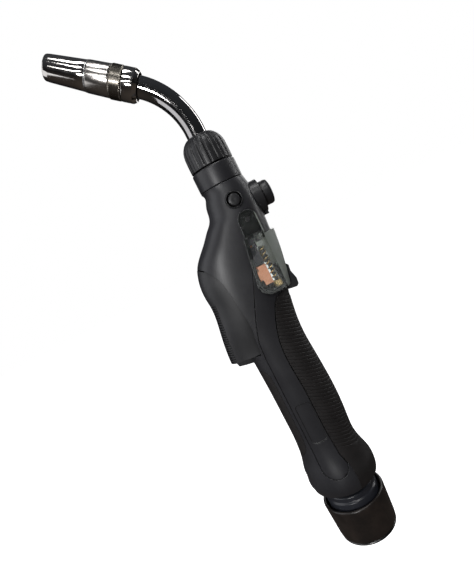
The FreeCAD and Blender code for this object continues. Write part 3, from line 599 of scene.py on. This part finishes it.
def make_nozzle_nut():
    """A nut with slots pressed into its chamfer and a dark recess at the back."""
    bm = lathe(NUT_OUTLINE, steps=96, rounding=0.2)
    slots = []
    for face in bm.faces:
        centre = face.calc_center_median()
        radius = radius_of(centre)
        turn = (atan2(centre.y, centre.x) / (2 * pi / NUT_SLOTS)) % 1.0
        on_chamfer = radius > NUT_RECESS_R and centre.z / MM < NUT_SLOT_TOP
        if on_chamfer and NUT_SLOT_SHARE[0] < turn < NUT_SLOT_SHARE[1]:
            slots.append(face)
        if radius < NUT_RECESS_R and centre.z / MM < NUT_RECESS_TOP:
            face.material_index = 1
    pressed = bmesh.ops.extrude_face_region(bm, geom=slots)["geom"]
    bmesh.ops.delete(bm, geom=slots, context="FACES")
    for vert in (v for v in pressed if isinstance(v, bmesh.types.BMVert)):
        room = (radius_of(vert.co) - NUT_RECESS_R) * MM
        press_in(vert, max(0.0, min(NUT_SLOT_DEPTH * MM, room)))
    make_piece(on_nozzle(bm), "slotted_nut", "neck", ["nozzle_nut"],
               [finish["chrome"], finish["insulator"]])


def make_knurled_band():
    """Rows of points raised in turn, which gives the crossed diamonds of a knurl."""
    bm = lathe(KNURL_OUTLINE, steps=KNURL_COLUMNS, rounding=0.0)
    tall = [e for e in bm.edges if abs(e.verts[0].co.z - e.verts[1].co.z) > KNURL_TALL_EDGE * MM
            and radius_of(e.verts[0].co) > KNURL_SKIN_R]
    bmesh.ops.subdivide_edges(bm, edges=tall, cuts=KNURL_ROWS - 1)
    for vert in bm.verts:
        height = vert.co.z / MM
        inside = (KNURL_FOOT + KNURL_MARGIN < height
                  < KNURL_FOOT + KNURL_LENGTH - KNURL_MARGIN)
        if radius_of(vert.co) > KNURL_SKIN_R and inside:
            column = round(atan2(vert.co.y, vert.co.x) / (2 * pi / KNURL_COLUMNS))
            row = round((height - KNURL_FOOT) / (KNURL_LENGTH / KNURL_ROWS))
            swell = KNURL_OUT if (column + row) % 2 else KNURL_IN
            vert.co.x *= swell
            vert.co.y *= swell
    make_piece(on_nozzle(bm), "knurled_band", "nozzle", ["knurled_collar"], [finish["knurled"]],
               crease=20.0)


def make_nozzle_shells():
    body = on_nozzle(lathe(BODY_OUTLINE, steps=128, rounding=0.2))
    make_piece(body, "chrome_body", "nozzle", ["nozzle_body"], [finish["satin_chrome"]])
    ring = on_nozzle(lathe(RING_OUTLINE, steps=128, rounding=0.25))
    make_piece(ring, "bright_ring", "nozzle", ["nozzle_ring"], [finish["steel"]])
    cone = on_nozzle(lathe(CONE_OUTLINE, steps=128, rounding=0.35))
    make_piece(cone, "tapered_nozzle", "nozzle", ["gas_nozzle"], [finish["chrome"]])


make_nozzle_nut()
make_knurled_band()
make_nozzle_shells()

# %% [markdown]
# ## Lock nut and collar
# The lock nut is fluted, and its flutes run up over its dome and fade there. It is spun from a
# plain outline, and every point is then drawn in by how deep the flute is at its place round the
# nut. The flutes are narrow, with wide smooth lands between them.

# %% Lock nut and collar
LOCK_NUT_OUTLINE = [(11.2, 291.9), (15.2, 291.9), (15.2, 294.0), (15.2, 297.0), (15.15, 300.0),
                    (15.0, 303.0), (14.7, 305.0), (14.1, 307.0), (13.1, 309.0), (11.6, 311.0),
                    (10.0, 312.4), (8.9, 313.0), (7.75, 313.0), (7.75, 306.0), (11.2, 306.0)]
FLUTES = 20
STEPS_PER_FLUTE = 10
FLUTE_DEPTH = 0.58
FLUTE_TOP_Z = 312.6
FLUTE_TOP_FADE = 5.0
FLUTE_LIMIT_Z = 312.7
FLUTE_FOOT_Z = 291.6
FLUTE_FOOT_FADE = 1.4
FLUTE_INNER_R = 9.5
NUT_BORE_R = 11.4
NUT_BORE_TOP_Z = 307.0
COLLAR_OUTLINE = [(7.6, 277.7), (15.2, 277.7), (15.6, 278.3), (15.6, 290.2), (15.1, 291.0),
                  (10.8, 291.0), (10.8, 305.2), (7.6, 305.2)]


def make_lock_nut():
    bm = lathe(LOCK_NUT_OUTLINE, steps=FLUTES * STEPS_PER_FLUTE, rounding=0.3)
    for vert in bm.verts:
        radius = radius_of(vert.co)
        height = vert.co.z / MM
        wave = max(0.0, cos(atan2(vert.co.y, vert.co.x) * FLUTES))
        fade = (part_of(FLUTE_TOP_Z - height, FLUTE_TOP_FADE)
                * part_of(height - FLUTE_FOOT_Z, FLUTE_FOOT_FADE))
        in_bore = radius < NUT_BORE_R and height < NUT_BORE_TOP_Z
        if radius > FLUTE_INNER_R and height < FLUTE_LIMIT_Z and not in_bore:
            press_in(vert, FLUTE_DEPTH * wave ** 3 * fade * MM)
    bmesh.ops.translate(bm, verts=bm.verts, vec=(NECK_X * MM, 0.0, 0.0))
    make_piece(bm, "fluted_nut", "lock_nut", ["neck_lock_nut"], [finish["control"]],
               crease=40.0)


def make_collar():
    bm = lathe(COLLAR_OUTLINE, steps=128, rounding=0.3)
    bmesh.ops.translate(bm, verts=bm.verts, vec=(NECK_X * MM, 0.0, 0.0))
    make_piece(bm, "plain_collar", "handle", ["neck_collar"], [finish["shell"]])


make_lock_nut()
make_collar()

# %% [markdown]
# ## Knob and button
# The speed knob sets how fast the wire runs. It is smooth, with a rounded edge and a slightly
# domed face. The push button is a domed cap in a raised ring, with a dark gap between the two.
# Turning an outline rounds every edge at once, which a bevelled cylinder would need several steps
# for.

# %% Controls
KNOB_Z = 260.2
KNOB_OUTLINE = [(3.0, 34.6), (8.2, 34.6), (8.6, 35.1), (8.6, 39.6), (8.1, 40.8), (6.8, 41.3),
                (0.05, 41.4), (0.05, 38.95), (3.0, 38.95)]
BUTTON_X = 14.4
BUTTON_Z = 264.4
BEZEL_OUTLINE = [(4.95, 15.3), (5.75, 15.3), (5.75, 18.6), (5.5, 19.0), (5.2, 19.05),
                 (4.95, 18.8)]
CAP_OUTLINE = [(0.02, 14.0), (5.4, 14.0), (5.4, 14.85), (3.9, 14.85), (3.9, 19.2), (3.5, 19.6),
               (2.0, 19.75), (0.02, 19.8)]


def make_knob():
    bm = lay(lathe(KNOB_OUTLINE, steps=96, rounding=0.25), (1, 0, 0), (0, 0, KNOB_Z))
    make_piece(bm, "domed_knob", "knob", ["speed_knob"], [finish["control"]],
               crease=30.0)


def make_button():
    place = (BUTTON_X, 0, BUTTON_Z)
    ring = lay(lathe(BEZEL_OUTLINE, steps=96, rounding=0.2), (0, -1, 0), place)
    make_piece(ring, "button_bezel", "handle", ["button_ring"], [finish["control"]])
    cap = lay(lathe(CAP_OUTLINE, steps=96, rounding=0.2), (0, -1, 0), place)
    make_piece(cap, "button_cap", "button", ["side_button"], [finish["control"]])


make_knob()
make_button()

# %% [markdown]
# ## Cable cup
# The cable comes in through a cup that swivels in the foot of the handle. The swivel's neck
# carries a dark skirt that shows between the handle and the cup. The cup and its rear ring are
# turned too, in more steps than the small pieces, and the cup's rim is rounded, so that it draws a
# thin line.

# %% Swivel and cup
SWIVEL_OUTLINE = [(10.0, 0.0), (13.0, 0.0), (13.0, 37.4), (17.8, 37.4), (17.8, 12.4), (19.9, 12.4),
                  (19.9, 35.0), (19.4, 35.6), (18.8, 36.2), (18.8, 39.2), (18.2, 40.0),
                  (12.5, 40.0), (12.5, 66.0), (10.0, 66.0)]
CUP_OUTLINE = [(13.05, 2.45), (21.3, 2.45), (22.3, 3.4), (22.6, 6.0), (23.95, 30.4), (23.6, 31.4),
               (22.9, 31.8), (22.0, 31.5), (21.5, 30.6), (20.9, 8.0), (20.0, 5.6), (13.05, 5.6)]
TAIL_OUTLINE = [(13.05, 0.4), (21.4, 0.4), (22.0, 1.0), (22.0, 1.9), (21.6, 2.4), (13.05, 2.4)]


def make_cup():
    swivel = lathe(SWIVEL_OUTLINE, steps=160, rounding=0.3)
    make_piece(swivel, "swivel_band", "cable_swivel", ["swivel_neck"], [finish["swivel"]])
    cup = lathe(CUP_OUTLINE, steps=160, rounding=0.4)
    make_piece(cup, "cup", "cable_swivel", ["cable_cup"], [finish["cup"]])
    ring = lathe(TAIL_OUTLINE, steps=160, rounding=0.3)
    make_piece(ring, "tail_ring", "cable_swivel", ["rear_ring"], [finish["tail"]])


make_cup()

# %% [markdown]
# ## Ribbed grip
# Fine ribs cross the back of the grip on a slant. The CAD skin is cut along three planes for every
# groove, and the middle line of each trio is then pushed in, which leaves a crisp V. The grooves
# fade out at the top and the foot of the grip.

# %% Ribbed grip
RIB_SLANT = radians(26.5)
RIB_START = 74.0
RIB_PITCH = 2.4
RIB_COUNT = 52
RIB_HALF_WIDTH = 0.42
RIB_DEPTH = 0.27
RIB_TOP_Z = 196.0
RIB_TOP_FADE = 6.0
RIB_FOOT_Z = 66.0
RIB_FOOT_FADE = 8.0
GRIP_MIDDLE_X = -1.0
FACES_OUT = 0.35


def cut_across(bm, place, normal):
    return bmesh.ops.bisect_plane(bm, geom=bm.verts[:] + bm.edges[:] + bm.faces[:],
                                  dist=SAME_POINT, plane_co=place, plane_no=normal)["geom_cut"]


def make_ribbed_grip():
    bm = copy_node("rib_grip")
    across = Vector((sin(RIB_SLANT), 0.0, cos(RIB_SLANT)))
    grooves = []
    for k in range(RIB_COUNT):
        level = (RIB_START + RIB_PITCH * k) * MM
        for offset in (-RIB_HALF_WIDTH, 0.0, RIB_HALF_WIDTH):
            cut = cut_across(bm, across * (level + offset * MM), across)
            if offset == 0.0:
                grooves += [v for v in cut if isinstance(v, bmesh.types.BMVert)]
    bm.normal_update()
    for vert in set(grooves):
        out = Vector((vert.co.x - GRIP_MIDDLE_X * MM, vert.co.y, 0.0)).normalized()
        top = part_of(RIB_TOP_Z - vert.co.z / MM, RIB_TOP_FADE)
        foot = part_of(vert.co.z / MM - RIB_FOOT_Z, RIB_FOOT_FADE)
        if vert.normal.dot(out) > FACES_OUT:
            vert.co -= out * (RIB_DEPTH * MM * top * foot)
    make_piece(bm, "ribbed_grip", "handle", ["rib_grip"], [finish["rubber"]],
               crease=28.0, turn_out=False)


make_ribbed_grip()

# %% [markdown]
# ## Side panels
# The hard panels are let into the shells with a chamfered edge. The chamfer is painted near black,
# as painted shade for the shadow in the gap round each panel, so each panel is drawn round by a
# dark line. The bevel operator makes the chamfer from the sharp edges of the outer face, and gives
# its new faces the second material, the painted shade.

# %% Side panels
PANEL_CHAMFER = 0.38
PANEL_RIM = radians(55.0)
FACES_SIDE = 0.3


def make_side_panel(node, side):
    bm = copy_node(node)
    rims = []
    for edge in bm.edges:
        outward = [face.normal.y * side for face in edge.link_faces]
        if (len(outward) == 2 and max(outward) > FACES_SIDE
                and edge.calc_face_angle(0.0) > PANEL_RIM):
            rims.append(edge)
    # The chamfer's new faces take the second material, which is painted shade.
    bmesh.ops.bevel(bm, geom=rims, offset=PANEL_CHAMFER * MM, segments=1, affect="EDGES",
                    clamp_overlap=True, material=1)
    make_piece(bm, "chamfered_" + node, "handle", [node], [finish["panel"], finish["seam"]],
               crease=30.0, turn_out=False)


make_side_panel("left_side_panel", -1)
make_side_panel("right_side_panel", 1)

# %% [markdown]
# ## Clear cover
# The cover is clear polycarbonate. Its cut edges are matte and catch the light, so the copy of the
# CAD shape gets three finishes: clear on its large faces, pale on its narrow ones, and frosted on
# the large faces of its back. The rims between them are chamfered, so that they draw a thin line.

# %% Clear cover
CLEAR_COLOUR = (0.86, 0.89, 0.87, 1.0)
CLEAR_IOR = 1.5
CLEAR_ROUGHNESS = 0.02
LARGE_FACE = 250.0
FACE_CREASE = radians(28.0)
RIM_CREASE = radians(50.0)
RIM_CHAMFER = 0.3
BACK_X = 22.0


def make_clear():
    material = bpy.data.materials.new("clear polycarbonate")
    material.use_nodes = True
    tree = material.node_tree
    shader = tree.nodes["Principled BSDF"]
    shader.inputs["Base Color"].default_value = CLEAR_COLOUR
    shader.inputs["Transmission Weight"].default_value = 1.0
    shader.inputs["IOR"].default_value = CLEAR_IOR
    dusty = place_group(tree, DUST, Scale=120.0, Amount=0.12)
    rough = new_math(tree, "ADD", dusty.outputs["Mask"], CLEAR_ROUGHNESS)
    tree.links.new(rough, shader.inputs["Roughness"])
    grains = place_group(tree, GRAIN, Scale=300.0, Depth=0.05)
    tree.links.new(grains.outputs["Normal"], shader.inputs["Normal"])
    return material


finish["clear"] = make_clear()
finish["frost"] = make_finish("frosted back", (0.36, 0.39, 0.36), (0.50, 0.53, 0.50), 0.35,
                              grain=(1200.0, 0.1), dust=(150.0, 0.6), clear_share=0.55)
finish["rim"] = make_finish("frosted rim", (0.66, 0.68, 0.68), (0.80, 0.81, 0.81), 0.25,
                            grain=(2500.0, 0.1), dust=(200.0, 0.5), clear_share=0.5)


def sort_faces(bm):
    """Gives each smooth run of faces the clear finish if it is large, and the rim's if not."""
    left = set(bm.faces)
    while left:
        region = [left.pop()]
        area = 0.0
        for face in region:
            area += face.calc_area()
            for edge in face.edges:
                if len(edge.link_faces) == 2 and edge.calc_face_angle(0.0) < FACE_CREASE:
                    for other in edge.link_faces:
                        if other in left:
                            left.remove(other)
                            region.append(other)
        for face in region:
            face.material_index = 0 if area > LARGE_FACE * MM * MM else 1


def make_clear_cover():
    bm = copy_node("drive_cover")
    sort_faces(bm)
    cut_across(bm, (BACK_X * MM, 0.0, 0.0), (1.0, 0.0, 0.0))
    rims = []
    for edge in bm.edges:
        kinds = {face.material_index for face in edge.link_faces}
        if len(kinds) == 2 and edge.calc_face_angle(0.0) > RIM_CREASE:
            rims.append(edge)
    bmesh.ops.bevel(bm, geom=rims, offset=RIM_CHAMFER * MM, segments=1, affect="EDGES",
                    clamp_overlap=True, material=1)
    for face in bm.faces:
        if face.material_index == 0 and face.calc_center_median().x > BACK_X * MM:
            face.material_index = 2
    make_piece(bm, "clear_cover", "cover", ["drive_cover"],
               [finish["clear"], finish["rim"], finish["frost"]],
               crease=30.0, turn_out=False)


make_clear_cover()

# %% [markdown]
# ## Springs and the tension screw
# One spring presses the drive's arm down and one returns the trigger. A curve with a round section
# could draw a helix, but a small circle spun with a rise for every step gives a closed mesh at
# once. The helices stand for the plain sleeves of the CAD model. The tension screw keeps its CAD
# shape, and only its faces are sorted by height: the head is brass, and the shank inside the
# spring is dark.

# %% Springs and screw
COIL_SEGMENTS = 10
STEPS_PER_TURN = 18
ARM_SPRING_PLACE = (17.0, -12.0, 205.0)
TRIGGER_SPRING_PLACE = (-27.0, 0.0, 176.0)
SCREW_HEAD_TOP_Z = 204.7


def make_coil(radius, wire, pitch, length):
    """A helix about Z from a wire of the given radius, standing on the origin."""
    bm = bmesh.new()
    ring = bmesh.ops.create_circle(bm, segments=COIL_SEGMENTS, radius=wire * MM,
                                   cap_ends=True)["verts"]
    bmesh.ops.rotate(bm, verts=ring, cent=(0, 0, 0), matrix=Matrix.Rotation(pi / 2, 3, "X"))
    bmesh.ops.translate(bm, verts=ring, vec=(radius * MM, 0.0, wire * MM))
    turns = (length - 2 * wire) / pitch
    count = int(STEPS_PER_TURN * turns)
    rise = (length - 2 * wire) / count * MM
    bmesh.ops.spin(bm, geom=bm.verts[:] + bm.edges[:] + bm.faces[:], cent=(0, 0, 0),
                   axis=(0, 0, 1), dvec=(0.0, 0.0, rise), angle=2 * pi * turns, steps=count)
    return bm


def make_springs():
    # The arm spring's gold colour is painted reflection of the copper and brass beside it.
    arm_coil = make_coil(radius=1.62, wire=0.5, pitch=3.3, length=24.0)
    make_piece(lay(arm_coil, (0, 0, 1), ARM_SPRING_PLACE), "arm_spring", "handle",
               ["tension_spring"], [finish["brass"]], crease=50.0)
    trigger_coil = make_coil(radius=2.2, wire=0.35, pitch=2.1, length=13.0)
    make_piece(lay(trigger_coil, (1, 0, 0), TRIGGER_SPRING_PLACE), "trigger_coil", "handle",
               ["trigger_spring"], [finish["steel"]], crease=50.0)


def make_tension_screw():
    bm = copy_node("tension_screw")
    for face in bm.faces:
        face.material_index = 1 if face.calc_center_median().z > SCREW_HEAD_TOP_Z * MM else 0
    make_piece(bm, "gold_screw", "tension", ["tension_screw"],
               [finish["brass"], finish["insulator"]],
               crease=30.0, turn_out=False)


make_springs()
make_tension_screw()

# %% [markdown]
# ## Finishes for the CAD nodes
# The shells, the trigger, the drive and the small hardware keep their CAD shape, which is already
# exact, so they only need a material. Each line gives one finish to every node of that material,
# so that a whole family of parts is changed in one place.

# %% Dress the nodes
dress(finish["shell"], "left_shell", "right_shell")
dress(finish["rubber"], "front_grip")
dress(finish["trigger"], "trigger")
dress(finish["control"], "knob_base", "cover_latch", "cover_pins")
dress(finish["steel"], "shell_screws", "trigger_pin", "arm_pin", "pressure_roll_pin",
      "pressure_roll", "drive_roll", "roll_shaft", "knob_shaft", "potentiometer", "wire_liner",
      "wire_conduit", "swivel_ball")
dress(finish["brass"], "neck_socket", "gas_diffuser", "inlet_block", "wire_guides", "roll_screw")
dress(finish["copper"], "contact_tip", "neck_conductor", "power_block")
dress(finish["insulator"], "neck_insulation", "nozzle_insulator", "button_switch",
      "trigger_switch")
dress(finish["aluminium"], "drive_chassis", "angle_gearhead")
dress(finish["motor"], "drive_motor")
dress(finish["hose"], "gas_hose", "power_lead")
dress(finish["plate"], "drive_plate")
dress(finish["arm"], "pressure_arm")
dress(finish["swivel"], "swivel_seat")
print("dressed")
